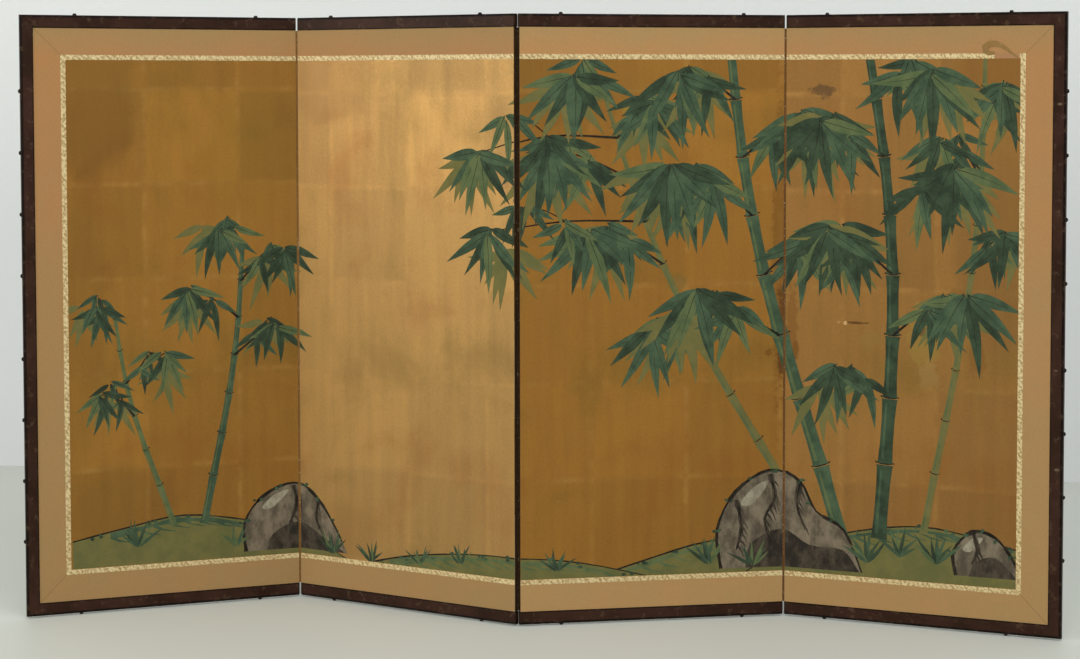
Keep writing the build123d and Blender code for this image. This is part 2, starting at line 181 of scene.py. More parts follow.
LEAF_PITCH = 145 * MM  # a beaten gold leaf, less its lap over the next one
LEAF_LAP = 14 * MM
LEAF_WANDER = 6 * MM  # how far the laps stray from straight
# Where a corner of the leaf grid lies on each panel, (along, up).
LEAF_START = {1: (0.020, 0.076), 2: (0.064, 0.070), 3: (0.108, 0.073), 4: (0.089, 0.068)}
# Tone of each panel's gold, partly aged unevenly and partly painted light: each panel's tone is set to how
# its gold looks under the lamps, and panel 2 is drawn paler as painted sheen.
GOLD_TONE_AND_SHEEN = {1: "#9F702B", 2: "#AB8344", 3: "#A1702B", 4: "#9A6E34"}
# Panel 2 has kept the gloss of its glue size.
GOLD_GLOSS = {1: 0.12, 2: 0.5, 3: 0.12, 4: 0.18}
SOFT_MARK = 35  # an age mark with a half size over this many mm is a stain, and a smaller one is flaking
# Age marks on each panel: along, up, half length and half height in mm, colour, strength.
AGE_MARKS = {
    1: [
        (330, 700, 60, 90, "#9A7428", 0.25), (120, 150, 70, 60, "#6E5326", 0.25),
        (70, 800, 80, 90, "#73501F", 0.45), (60, 420, 40, 160, "#73511F", 0.25),
    ],
    2: [
        (250, 830, 120, 20, "#8A6A2E", 0.3), (50, 815, 90, 50, "#86602C", 0.40),
        (60, 110, 80, 40, "#8F6325", 0.25),
    ],
    3: [
        (166, 773, 11, 7, "#A08A34", 0.7), (236, 511, 13, 11, "#7E6A2C", 0.55),
        (236, 511, 8, 7, "#94703A", 0.7), (294, 452, 24, 0.9, "#5E3B12", 0.75),
        (396, 560, 9, 190, "#7A4D18", 0.5), (399, 440, 6, 60, "#5A3614", 0.7),
        (380, 404, 5, 5, "#7A4E14", 0.7), (60, 820, 120, 60, "#7C5A22", 0.3),
    ],
    4: [
        (56, 798, 15, 8, "#5F4426", 0.8), (216, 436, 22, 40, "#9A8238", 0.55),
        (210, 448, 6, 10, "#5B4526", 0.7), (222, 380, 13, 18, "#A18048", 0.55),
        (246, 478, 20, 17, "#9C7836", 0.6), (262, 492, 28, 12, "#8E5F22", 0.5),
        (296, 404, 10, 22, "#80501F", 0.4), (133, 427, 14, 12, "#94783A", 0.4),
        (112, 452, 15, 1.6, "#5E3B12", 0.85), (94, 451, 2.6, 2.6, "#D8B07A", 0.9),
        (84, 452, 2.0, 1.6, "#B48A58", 0.8), (10, 440, 8, 60, "#7A4D18", 0.55),
        (16, 408, 4, 10, "#7A4E14", 0.8), (320, 800, 60, 50, "#8A5A1A", 0.35),
        (330, 560, 60, 160, "#6B4E20", 0.3),
    ],
}


def gold_leaf_paper(number):
    """Beaten gold leaf in lapped squares on sized paper: a soft metal gleam, browned and rubbed with age."""
    constants = {"Metallic": 0.78, "Coat Weight": GOLD_GLOSS[number], "Coat Roughness": 0.42}
    finish, tree, shader, place = new_finish("gold_leaf_paper", constants, number)
    along, up = along_and_up(tree, place)
    grid = add(tree, "CombineXYZ", [along, up])
    wander = add(tree, "TexNoise", {"Vector": place, "Scale": 30.0, "Detail": 4.0})
    sway = add(tree, "VectorMath", [wander.outputs["Color"], (0.5, 0.5, 0.5)], operation="SUBTRACT")
    stray = [sway, (LEAF_WANDER, LEAF_WANDER, 0.0), grid]
    swayed = add(tree, "VectorMath", stray, operation="MULTIPLY_ADD")
    corner = (*(first - LEAF_PITCH * 3 for first in LEAF_START[number]), 0)
    shifted = add(tree, "VectorMath", [swayed, corner], operation="SUBTRACT")
    squares = {
        "Vector": shifted,
        "Color1": (0.0, 0.0, 0.0, 1.0),
        "Color2": (1.0, 1.0, 1.0, 1.0),
        "Mortar": (0.5, 0.5, 0.5, 1.0),
        "Scale": 1.0,
        "Mortar Size": LEAF_LAP / 2,
        "Mortar Smooth": 1.0,
        "Brick Width": LEAF_PITCH,
        "Row Height": LEAF_PITCH,
    }
    leaves = add(tree, "TexBrick", squares, offset=0.0, squash=1.0)
    # Each panel's own tone, with painted sheen on panel 2, laid over the leaf squares.
    toned = [0.14, GOLD_TONE_AND_SHEEN[number], leaves.outputs["Color"]]
    leaf_tone = add(tree, "Mix", toned, data_type="RGBA", blend_type="OVERLAY")
    # The lap is two leaves thick, so less of the ground shows through it, where it isn't rubbed away.
    kept = {"Value": wander, "From Min": 0.40, "From Max": 0.66, "To Max": 0.34}
    rubbed = add(tree, "MapRange", kept, interpolation_type="SMOOTHSTEP")
    lap = add(tree, "Math", [leaves.outputs["Fac"], rubbed], operation="MULTIPLY")
    colour = add(tree, "Mix", [lap, leaf_tone, "#BD8F4C"], data_type="RGBA")
    # Size and damp have browned the leaf in clouds a hand's width across, some olive and some red.
    cloudy = {"Vector": place, "Scale": 7.0, "Detail": 5.0, "Roughness": 0.55, "Distortion": 0.4}
    clouds = add(tree, "TexNoise", cloudy)
    colour = tinted(tree, colour, "#7E6224", clouds, 0.50, 0.70, 0.45)
    colour = tinted(tree, colour, "#935D20", clouds, 0.48, 0.30, 0.40)
    # Faint upright drags of the size brush.
    stretched = add(tree, "VectorMath", [place, (1.0, 1.0, 0.09)], operation="MULTIPLY")
    drags = add(tree, "TexNoise", {"Vector": stretched, "Scale": 55.0, "Detail": 4.0, "Roughness": 0.6})
    # Rubbed specks 2 to 4 mm across.
    specks = add(tree, "TexNoise", {"Vector": place, "Scale": 260.0, "Detail": 3.0, "Roughness": 0.65})
    grain = add(tree, "Math", [drags, specks], operation="ADD")
    lights = {"Value": grain, "From Min": 0.65, "From Max": 1.35, "To Min": 0.88, "To Max": 1.12}
    grain_light = add(tree, "MapRange", lights)
    colour = add(tree, "VectorMath", [colour, grain_light], operation="MULTIPLY")
    flakes = add(tree, "TexNoise", {"Vector": place, "Scale": 120.0, "Detail": 4.0, "Roughness": 0.7})
    # The largest marks are soft stains, with the outline of the clouds and not of flaking.
    ragged = add(tree, "MapRange", {"Value": flakes, **NOISE_SPAN, "To Min": -0.5, "To Max": 0.6})
    soft = add(tree, "MapRange", {"Value": clouds, **NOISE_SPAN, "To Min": -0.4, "To Max": 0.5})
    for mark in AGE_MARKS[number]:
        rim = soft if min(mark[2], mark[3]) > SOFT_MARK else ragged
        colour = marked(tree, colour, place, rim, mark)
    dulling = {"Value": grain, "From Min": 0.6, "From Max": 1.4, "To Min": 0.56, "To Max": 0.42}
    wire(shader, {"Roughness": add(tree, "MapRange", dulling)})
    relief = add(tree, "Math", [leaves.outputs["Fac"], 0.4, grain], operation="MULTIPLY_ADD")
    dress(tree, shader, colour, relief, 0.12, 0.4)
    return finish


# ---------------- silk brocade border

THREAD = 1.6 * MM  # the real thread is about 0.4 mm: drawn four times as coarse, so that it shows
# Painted light and shade on each panel's cloth, at its foot and at its head: how bright it is drawn, since
# each panel faces the lamps differently.
SILK_PAINTED_LIGHT = {1: (0.97, 0.98), 2: (0.96, 0.92), 3: (1.12, 1.07), 4: (1.05, 0.96)}
WARM_FROM = 0.3  # metres up, where the olive cloth of the foot starts to turn warm
SEAM_EDGE = (1.4 * MM, 0.3 * MM)  # how far off a seam the cloth starts to darken, and is darkest


def silk_brocade(number):
    """Plain-woven dyed silk pasted on paper: an even tan with a soft sheen, faded in patches."""
    constants = {"Roughness": 0.78, "Sheen Weight": 0.12, "Sheen Roughness": 0.45, "Specular IOR Level": 0.3}
    finish, tree, shader, place = new_finish("silk_brocade", constants, number)
    along, up = along_and_up(tree, place)
    fading = add(tree, "TexNoise", {"Vector": place, "Scale": 14.0, "Detail": 4.0, "Roughness": 0.6})
    faded = add(tree, "MapRange", {"Value": fading, **NOISE_CORE, "To Min": -0.15, "To Max": 0.15})
    # The cloth is drawn warm along the top strip and olive towards the frame and low down.
    outwards = {"Value": up, "From Min": SHEET_HIGH, "From Max": CORE_HIGH, "To Min": 0.9, "To Max": 0.1}
    towards_frame = add(tree, "MapRange", outwards)
    downwards = {"Value": up, "From Min": WARM_FROM, "From Max": SHEET_HIGH, "To Min": 0.25, "To Max": 0.9}
    low_down = add(tree, "MapRange", downwards)
    least = add(tree, "Math", [towards_frame, low_down], operation="MINIMUM")
    warm = add(tree, "Math", [least, faded], operation="ADD", use_clamp=True)
    cloth = add(tree, "Mix", [warm, "#9D8051", "#AD7C4B"], data_type="RGBA")
    # Painted light and shade: each panel's cloth is drawn lighter or darker, and differently from its foot to
    # its head.
    foot, head = SILK_PAINTED_LIGHT[number]
    rise = {"Value": up, "From Min": CORE_LOW, "From Max": CORE_HIGH, "To Min": foot, "To Max": head}
    height = add(tree, "MapRange", rise)
    threads = []
    for way in (along, up):
        turned = add(tree, "Math", [way, math.tau / THREAD], operation="MULTIPLY")
        threads.append(add(tree, "Math", [turned], operation="SINE"))
    weave = add(tree, "Math", [threads[0], threads[1]], operation="MULTIPLY")
    slubs = add(tree, "TexNoise", {"Vector": place, "Scale": 420.0, "Detail": 2.0, "Roughness": 0.7})
    tone = add(tree, "Math", [weave, 0.16, slubs], operation="MULTIPLY_ADD")
    lights = {"Value": tone, "From Min": 0.2, "From Max": 0.8, "To Min": 0.92, "To Max": 1.08}
    light = add(tree, "MapRange", lights)
    shade = add(tree, "Math", [light, height], operation="MULTIPLY")
    colour = add(tree, "VectorMath", [cloth, shade], operation="MULTIPLY")
    if number in (1, 4):
        # On an outer panel, a strip down the side meets the top and bottom strips in mitred seams.
        inward = apart(tree, along, 0.0 if number == 1 else CORE_WIDTH)
        middle = apart(tree, up, CORE_MIDDLE)
        edge = add(tree, "Math", [CORE_HIGH - CORE_MIDDLE, middle], operation="SUBTRACT")
        colour = tinted(tree, colour, "#6E5230", apart(tree, inward, edge), *SEAM_EDGE, 0.45)
    dress(tree, shader, colour, tone, 0.25, 0.15)
    return finish


# ---------------- gilt strip

TWIST = 9 * MM  # one turn of the pale figure along the strip
TWIST_STRAY = 20 * MM  # how far its turns stray from even
# Near panel 4's top right corner the strip is gone from here to here, and the bare border paper shows.
LOST_FROM = 317 * MM
LOST_TO = 354 * MM
TORN = 5 * MM  # how far the torn end wanders


def gilt_strip_paper(number):
    """A narrow strip of gilt paper under pale netting: a broken chain of bright dashes on dull gold."""
    finish, tree, shader, place = new_finish("gilt_strip_paper", {"Metallic": 0.1, "Roughness": 0.55}, number)
    along, up = along_and_up(tree, place)
    slant = add(tree, "Math", [along, up], operation="ADD")
    wander = add(tree, "TexNoise", {"Vector": place, "Scale": 60.0, "Detail": 2.0})
    swayed = add(tree, "Math", [wander, TWIST_STRAY, slant], operation="MULTIPLY_ADD")
    turns = add(tree, "Math", [swayed, math.tau / TWIST], operation="MULTIPLY")
    figure = add(tree, "Math", [turns], operation="SINE")
    flecks = add(tree, "TexNoise", {"Vector": place, "Scale": 300.0, "Detail": 3.0, "Roughness": 0.7})
    mixed = add(tree, "Math", [figure, 0.05, flecks], operation="MULTIPLY_ADD")
    colour = tinted(tree, "#A08150", "#DCC894", mixed, 0.34, 0.62)
    if number == 4:
        torn = add(tree, "Math", [flecks, TORN, along], operation="MULTIPLY_ADD")
        past = add(tree, "Math", [torn, LOST_FROM + TORN / 2], operation="GREATER_THAN")
        short = add(tree, "Math", [along, LOST_TO], operation="LESS_THAN")
        high = add(tree, "Math", [up, CORE_MIDDLE], operation="GREATER_THAN")
        between = add(tree, "Math", [past, short], operation="MULTIPLY")
        gone = add(tree, "Math", [between, high], operation="MULTIPLY")
        colour = add(tree, "Mix", [gone, colour, "#A0744A"], data_type="RGBA")
    dress(tree, shader, colour, mixed, 0.35, 0.2)
    return finish


# ---------------- lacquered frame, nails, papers, cedar

# Scuffs on the right hand stile: along panel 4, up, half length and half height in mm, colour, strength.
STILE_SCUFFS = (
    (413, 779, 5, 2.6, "#7A6854", 0.6),
    (411, 394, 4, 2.2, "#705E4B", 0.6),
    (414, 250, 5, 3.0, "#7A6854", 0.6),
)
OUTER_SHADE_LINE = 2.0 * MM  # from the frame's outer edge to the painted shade line where its face turns into the bevel
SHADE_LINE_EDGE = (2.2 * MM, 1.0 * MM)  # how far off a painted shade line the lacquer starts to darken, and is darkest
WORN_ARRIS = 0.9 * MM  # how far the rubbing goes in from an arris


def lacquer():
    """Brown-black lacquer brushed over wood: a low even gloss, thin and brown along the worn arrises."""
    constants = {"Roughness": 0.45, "Specular IOR Level": 0.09, "Coat Weight": 0.02, "Coat Roughness": 0.25}
    finish, tree, shader, place = new_finish("lacquer", constants)
    age = add(tree, "TexNoise", {"Vector": place, "Scale": 18.0, "Detail": 5.0, "Roughness": 0.6})
    colour = tinted(tree, "#2B190F", "#3A241A", age, 0.35, 0.65)
    # Painted shade: the lacquer is drawn darker towards each arris, where its faces turn away from the light,
    # and the arris itself is rubbed.
    softened = add(tree, "Bevel", {"Radius": BEVEL_FACE}, samples=6)
    face = add(tree, "NewGeometry").outputs["True Normal"]
    turned = add(tree, "VectorMath", [softened, face], operation="DOT_PRODUCT")
    colour = tinted(tree, colour, "#160C07", turned, 0.995, 0.90, 0.6)
    # Painted shade: almost black lines where the face turns into the outer bevel, and along the inner edge
    # against the papers.
    height = apart(tree, along_and_up(tree, place)[1], CORE_MIDDLE)
    nearest = add(tree, "Math", [CORE_MIDDLE - FRAME_LOW, height], operation="SUBTRACT")
    along_first = along_and_up(tree, panel_place(tree, 1))[0]
    from_left = add(tree, "Math", [along_first, FRAME_WIDTH], operation="ADD")
    along_last = along_and_up(tree, panel_place(tree, 4))[0]
    from_right = add(tree, "Math", [CORE_WIDTH + FRAME_WIDTH, along_last], operation="SUBTRACT")
    for other in (from_left, from_right):
        nearest = add(tree, "Math", [nearest, other], operation="MINIMUM")
    for line in (OUTER_SHADE_LINE, FRAME_WIDTH):
        colour = tinted(tree, colour, "#090503", apart(tree, nearest, line), *SHADE_LINE_EDGE, 0.9)
    rounded = add(tree, "Bevel", {"Radius": WORN_ARRIS}, samples=4)
    smooth = add(tree, "NewGeometry").outputs["Normal"]
    bend = add(tree, "VectorMath", [rounded, smooth], operation="DOT_PRODUCT")
    chips = add(tree, "TexNoise", {"Vector": place, "Scale": 90.0, "Detail": 4.0, "Roughness": 0.7})
    exposed = add(tree, "Math", [bend, chips], operation="SUBTRACT")
    colour = tinted(tree, colour, "#604A38", exposed, 0.45, 0.33, 0.4)
    for scuff in STILE_SCUFFS:
        colour = marked(tree, colour, panel_place(tree, 4), chips, scuff)
    brushing = add(tree, "TexNoise", {"Vector": place, "Scale": 35.0, "Detail": 2.0, "Roughness": 0.5})
    dress(tree, shader, colour, brushing, 0.08, 0.5)
    return finish


def iron():
    """Hand-forged iron, blackened by fire and oil: dark, dull and finely pitted."""
    finish, tree, shader, place = new_finish("iron", {"Metallic": 0.85})
    pits = add(tree, "TexNoise", {"Vector": place, "Scale": 900.0, "Detail": 4.0, "Roughness": 0.65})
    colour = add(tree, "Mix", [pits, "#15110E", "#3A332D"], data_type="RGBA")
    rough = add(tree, "MapRange", {"Value": pits, **NOISE_SPAN, "To Min": 0.7, "To Max": 0.5})
    wire(shader, {"Roughness": rough})
    dress(tree, shader, colour, pits, 0.4, 0.15)
    return finish


def mulberry_paper(name, pale, dark, fibre_strength):
    """Handmade mulberry paper: matt, with long pale fibres and a slightly cloudy tone."""
    finish, tree, shader, place = new_finish(name, {"Roughness": 0.88, "Specular IOR Level": 0.25})
    clouds = add(tree, "TexNoise", {"Vector": place, "Scale": 16.0, "Detail": 5.0})
    ground = add(tree, "Mix", [clouds, dark, pale], data_type="RGBA")
    fibres = add(tree, "TexNoise", {"Vector": place, "Scale": 130.0, "Detail": 1.0, "Distortion": 3.0})
    colour = tinted(tree, ground, "#E2D3AE", fibres, 0.62, 0.70, fibre_strength)
    dress(tree, shader, colour, fibres, 0.15, 0.2)
    return finish


RING_PITCH = 48 * MM  # the printed circles of the lining paper overlap their neighbours by halves
RING_LINE = 1.3 * MM
RING_EDGE = {"From Min": RING_LINE * 0.4, "From Max": RING_LINE * 0.7}  # its ink fades out between these
LAP_EDGE = {"From Min": 0.6 * MM, "From Max": 2.0 * MM}  # the dark of a lap fades out between these
LINING_SHEETS = 3  # sheets of lining paper pasted one above another on a panel


def back_paper(number):
    """Lining paper block-printed with overlapping rings: matt brown-olive, its print paler and uneven."""
    constants = {"Roughness": 0.86, "Specular IOR Level": 0.25}
    finish, tree, shader, place = new_finish("back_paper", constants, number)
    along, up = along_and_up(tree, place)
    flat = add(tree, "CombineXYZ", [along, up])
    half = RING_PITCH / 2
    lines = []
    for shift in (0.0, half):
        moved = add(tree, "VectorMath", [flat, (shift, shift, 0)], operation="ADD")
        cell = add(tree, "VectorMath", [moved, (RING_PITCH, RING_PITCH, 1.0)], operation="MODULO")
        centred = add(tree, "VectorMath", [cell, (half, half, 0)], operation="SUBTRACT")
        reach = add(tree, "VectorMath", [centred], operation="LENGTH")
        off_ring = apart(tree, reach, half)
        lines.append(add(tree, "MapRange", {"Value": off_ring, **RING_EDGE, "To Min": 1.0, "To Max": 0.0}))
    rings = add(tree, "Math", [lines[0], lines[1]], operation="MAXIMUM")
    uneven = add(tree, "TexNoise", {"Vector": place, "Scale": 35.0, "Detail": 4.0, "Roughness": 0.65})
    inked = add(tree, "MapRange", {"Value": uneven, **NOISE_CORE, "To Min": 0.25, "To Max": 0.8})
    print_cover = add(tree, "Math", [rings, inked], operation="MULTIPLY")
    clouds = add(tree, "TexNoise", {"Vector": place, "Scale": 9.0, "Detail": 5.0})
    ground = add(tree, "Mix", [clouds, "#4E4A33", "#69603F"], data_type="RGBA")
    printed = add(tree, "Mix", [print_cover, ground, "#9A8A5C"], data_type="RGBA")
    # Where one sheet laps the next, a thin darker line runs across the panel.
    above = add(tree, "Math", [up, CORE_LOW], operation="SUBTRACT")
    sheet_height = (CORE_HIGH - CORE_LOW) / LINING_SHEETS
    in_sheet = add(tree, "Math", [above, sheet_height], operation="MODULO")
    lap_line = add(tree, "MapRange", {"Value": in_sheet, **LAP_EDGE, "To Min": 0.5, "To Max": 0.0})
    colour = add(tree, "Mix", [lap_line, printed, "#38341F"], data_type="RGBA")
    tooth = add(tree, "TexNoise", {"Vector": place, "Scale": 500.0, "Detail": 3.0})
    dress(tree, shader, colour, tooth, 0.15, 0.2)
    return finish


GROWTH_RING = 3.0 * MM
STAIN_DEPTH = 0.5 * MM


def cedar(number):
    """Planed Japanese cedar: pinkish straw, close straight grain, stained dark on its edges in the folds."""
    finish, tree, shader, place = new_finish("cedar", {"Roughness": 0.62}, number)
    along, _ = along_and_up(tree, place)
    pulled = add(tree, "VectorMath", [place, (1.0, 1.0, 0.06)], operation="MULTIPLY")
    ringed = {"Vector": pulled, "Scale": 1 / GROWTH_RING, "Detail": 3.0, "Roughness": 0.6}
    rings = add(tree, "TexNoise", ringed)
    wood = add(tree, "Mix", [rings, "#A87C50", "#D8B184"], data_type="RGBA")
    off_middle = apart(tree, along, CORE_WIDTH / 2)
    edge = add(tree, "Math", [off_middle, CORE_WIDTH / 2 - STAIN_DEPTH], operation="GREATER_THAN")
    colour = add(tree, "Mix", [edge, wood, "#33200C"], data_type="RGBA")
    dress(tree, shader, colour, rings, 0.2, 0.2)
    return finish


# ---------------- each node gets its finish

COMMON = {
    "lacquer": lacquer(),
    "iron": iron(),
    "underlay_paper": mulberry_paper("underlay_paper", "#D2C098", "#B5A078", 0.5),
}
# Folds 1 and 3 are drawn mid brown: their paper, darkened with painted shade of the narrow crease. Fold 2
# opens to the front as a deep slot and has stayed dark.
HINGE_PAPERS = {
    1: mulberry_paper("fold_1_hinge_paper", "#7E5A2C", "#5E3F1C", 0.2),
    2: mulberry_paper("fold_2_hinge_paper", "#3E2708", "#2A1904", 0.1),
    3: mulberry_paper("fold_3_hinge_paper", "#6E4A22", "#4E3014", 0.2),
}
PER_PANEL = {
    "gold_leaf_paper": gold_leaf_paper,
    "silk_brocade": silk_brocade,
    "gilt_strip_paper": gilt_strip_paper,
    "back_paper": back_paper,
    "cedar": cedar,
}


def fold_of(node_name):
    """A hinge node's fold, such as 1 for fold_1_hinge_links and for panel_2_left_hinge_leaves."""
    kind, number, side = node_name.split("_")[:3]
    if kind == "fold" or side == "right":
        return int(number)
    return int(number) - 1


finishes = {}
for node_name, node_object in frame["nodes"].items():
    for slot in node_object.material_slots:
        slot_name = slot.material.name.split(".")[0]
        if slot_name in PER_PANEL:
            number = int(node_name.split("_")[1])
            key = (slot_name, number)
            if key not in finishes:
                finishes[key] = PER_PANEL[slot_name](number)
            slot.material = finishes[key]
        elif slot_name == "hinge_paper":
            slot.material = HINGE_PAPERS[fold_of(node_name)]
        else:
            slot.material = COMMON[slot_name]


# ---------------- the painted picture

# An old-style picture of bamboo, rocks and a low bank, in mineral green and ink on the gold. It runs across
# all four panels: "far" is millimetres from the left end of panel 1, "up" is millimetres above the floor.

PAINT_THINNEST = 0.03 * MM
PAINT_DEEPEST = 0.40 * MM  # where most strokes lie over each other


def mineral_green(name, dark, light, specks):
    """Ground malachite in hide glue, painted thick: matt, grainy and a little cracked back to the gold."""
    finish, tree, shader, place = new_finish(name, {"Roughness": 0.85, "Specular IOR Level": 0.15})
    pools = add(tree, "TexNoise", {"Vector": place, "Scale": 38.0, "Detail": 5.0, "Roughness": 0.65})
    paint = tinted(tree, dark, light, pools, 0.32, 0.68)
    grains = add(tree, "TexNoise", {"Vector": place, "Scale": 330.0, "Detail": 4.0, "Roughness": 0.75})
    colour = tinted(tree, paint, "#7A6A38", grains, 0.58, 0.74, specks)
    dress(tree, shader, colour, grains, 0.3, 0.15)
    return finish


def ink_wash(name, dark, light, size):
    """Soot ink brushed on thin: matt, pooled dark in places and dry to a warm grey in others."""
    finish, tree, shader, place = new_finish(name, {"Roughness": 0.8, "Specular IOR Level": 0.15})
    pulled = add(tree, "VectorMath", [place, (1.0, 1.0, 0.6)], operation="MULTIPLY")
    pools = add(tree, "TexNoise", {"Vector": pulled, "Scale": 1 / size, "Detail": 5.0, "Roughness": 0.68})
    wire(shader, {"Base Color": tinted(tree, dark, light, pools, 0.36, 0.66)})
    return finish


PAINTS = {
    "deep_green": mineral_green("deep_green_paint", "#293527", "#3C4D38", 0.35),
    "green": mineral_green("green_paint", "#354735", "#4B5E44", 0.4),
    "pale_green": mineral_green("pale_green_paint", "#4B5A3B", "#5F6A44", 0.45),
    "misty_green": mineral_green("misty_green_paint", "#5F6038", "#70693C", 0.6),
    "ink": ink_wash("ink", "#15120D", "#332C22", 8 * MM),
    "rock_wash": ink_wash("rock_wash", "#51483B", "#7D715D", 22 * MM),
    "rock_shade": ink_wash("rock_shade", "#2B261F", "#4E4538", 16 * MM),
    "rock_light": ink_wash("rock_light", "#7E7764", "#A29B84", 14 * MM),
}
PAINT_ORDER = list(PAINTS)
NEAR_LEAVES = ("deep_green", "deep_green", "green", "green", "pale_green")

draw = random.Random(7)
strokes = []  # (paint, outline as [(far, up), ...] in millimetres)


def smoothed(points, closed=False):
    """A softly curved line through the same points, with three more between each two."""
    count = len(points)
    line = []
    for i in range(count if closed else count - 1):
        here, after = points[i], points[(i + 1) % count]
        before = points[i - 1] if closed or i else here
        beyond = points[(i + 2) % count] if closed or i + 2 < count else after
        for t in (0.0, 0.25, 0.5, 0.75):
            line.append(
                tuple(
                    b + 0.5 * t * (c - a + t * (2 * a - 5 * b + 4 * c - d + t * (3 * (b - c) + d - a)))
                    for a, b, c, d in zip(before, here, after, beyond)
                )
            )
    return line if closed else line + [points[-1]]


def lay_stroke(paint, spine):
    """Lays one stroke, from the (far, up, heading, half width) of each point down its middle."""
    left = [(far - math.sin(angle) * half, up + math.cos(angle) * half) for far, up, angle, half in spine]
    right = [(far + math.sin(angle) * half, up - math.cos(angle) * half) for far, up, angle, half in spine]
    strokes.append((paint, left + right[::-1]))


def line_stroke(paint, points, start_width, end_width, unevenness=0.12):
    """A brush line through points, from one width to another, with softly uneven edges."""
    spine = []
    for i, (far, up) in enumerate(points):
        before = points[max(i - 1, 0)]
        after = points[min(i + 1, len(points) - 1)]
        angle = math.atan2(after[1] - before[1], after[0] - before[0])
        share = i / (len(points) - 1)
        half = (start_width + (end_width - start_width) * share) / 2
        spine.append((far, up, angle, half * draw.uniform(1 - unevenness, 1 + unevenness)))
    lay_stroke(paint, spine)


def leaf_stroke(paint, stem, heading, length, width, ribbed):
    """One bamboo leaf: a short stalk, full near the base, drawn out to a point and slightly bent."""
    bend = draw.uniform(-0.3, 0.3)
    spine = []
    steps = 9
    far, up = stem
    for i in range(steps + 1):
        share = i / steps
        angle = heading + bend * share
        half = width / 2 * max(math.sin(math.pi * share**0.66), 0.0) + 0.4 * (1 - share)
        spine.append((far, up, angle, half))
        far += math.cos(angle) * length / steps
        up += math.sin(angle) * length / steps
    lay_stroke(paint, spine)
    if ribbed:
        line_stroke("ink", [point[:2] for point in spine[:-2]], 1.1, 0.4)


def leaf_spray(far, up, size, count, paints):
    """A hanging spray: leaves fan downwards from one twig end."""
    ribbed = paints == NEAR_LEAVES
    for i in range(count):
        share = (i + 0.5) / count
        heading = math.radians(-170 + 160 * share + draw.uniform(-10, 10))
        fullness = 0.68 + 0.32 * math.sin(math.pi * share)
        stem = (far + draw.uniform(-6, 6), up + draw.uniform(-5, 5))
        length = size * fullness * draw.uniform(0.82, 1.15)
        leaf_stroke(draw.choice(paints), stem, heading, length, size * 0.17, ribbed)


def twig(start, end, size, count):
    """A thin forked branch: pale leaves behind, then a spray half way along and a fuller one at its end."""
    middle = ((start[0] + end[0]) / 2 + draw.uniform(-8, 8), (start[1] + end[1]) / 2 + draw.uniform(4, 14))
    behind = (end[0] + draw.uniform(-30, 30), end[1] + draw.uniform(-34, 6))
    leaf_spray(*behind, size * 0.95, count - 1, ("misty_green",))
    branch = smoothed([start, middle, end])
    line_stroke("ink", branch, 3.6, 1.5)
    fork = (middle[0] + (middle[0] - start[0]) * 0.5 + draw.uniform(-8, 8), middle[1] + draw.uniform(16, 30))
    line_stroke("ink", smoothed([middle, ((middle[0] + fork[0]) / 2, fork[1] - 6), fork]), 2.2, 1.0)
    leaf_spray(*fork, size * 0.72, max(4, count - 3), NEAR_LEAVES)
    leaf_spray(*middle, size * 0.8, max(3, count - 3), NEAR_LEAVES)
    leaf_spray(*end, size, count, NEAR_LEAVES)


# How wide each length of a culm is, from joint to joint: a share of the way up, and of its width.
CULM_SWELL = ((0.012, 1.1), (0.05, 1.0), (0.3, 0.88), (0.7, 0.88), (0.95, 1.0), (0.988, 1.1))


def culm(base, top, lean, wide, narrow, joints, paint, lit):
    """A bamboo stem: a stroke with a lighter side for each length, and ink at each joint."""
    points = []
    for i in range(joints + 1):
        share = i / joints
        bow = lean * math.sin(math.pi * share)
        points.append((base[0] + (top[0] - base[0]) * share + bow, base[1] + (top[1] - base[1]) * share**0.9))
    for i, (low, high) in enumerate(zip(points, points[1:])):
        width = wide + (narrow - wide) * i / joints
        angle = math.atan2(high[1] - low[1], high[0] - low[0])
        right = (math.sin(angle), -math.cos(angle))
        spine = []
        for share, swell in CULM_SWELL:
            middle = (a + (b - a) * share for a, b in zip(low, high))
            spine.append((*middle, angle, width / 2 * swell))
        lay_stroke(paint, spine)
        lit_line = [
            tuple(a + (b - a) * share - c * width * 0.2 for a, b, c in zip(low, high, right))
            for share in (0.08, 0.3, 0.6, 0.92)
        ]
        line_stroke(lit, lit_line, width * 0.22, width * 0.12)
        reach = width * 0.62
        joint = [
            (high[0] + right[0] * reach * s, high[1] + right[1] * reach * s + 2.5 * s * s)
            for s in (-1.0, -0.4, 0.4, 1.0)
        ]
        line_stroke("ink", joint, 2.4, 1.9)
    return points


def bank(crest, base, paint, lit):
    """A low bank: a flat wash under a soft inked crest, with a lighter drag of colour just below it."""
    top = smoothed(crest)
    strokes.append((paint, [(top[0][0], base)] + top + [(top[-1][0], base)]))
    line_stroke(lit, [(far, up - 7) for far, up in top[3:-3]], 8, 3, 0.45)
    for far, up in top[3:-3]:
        line_stroke(lit, [(far, up - 8), (far + 14, up - 15), (far + 34, up - 19)], 5.0, 0.8, 0.3)
    line_stroke("ink", top, 2.6, 1.6, 0.3)
    for far, up in top[2:-2:2]:
        moss(far, up - 2, 3, 9)


def moss(far, up, count, reach):
    """A few round dabs of moss."""
    for _ in range(count):
        size = draw.uniform(1.6, 3.6)
        at = (far + draw.uniform(-reach, reach), up + draw.uniform(-reach, reach) * 0.4)
        dab = [
            (at[0] + size * math.cos(t * math.tau / 9), at[1] + size * 0.75 * math.sin(t * math.tau / 9))
            for t in range(9)
        ]
        strokes.append((draw.choice(("deep_green", "green")), dab))


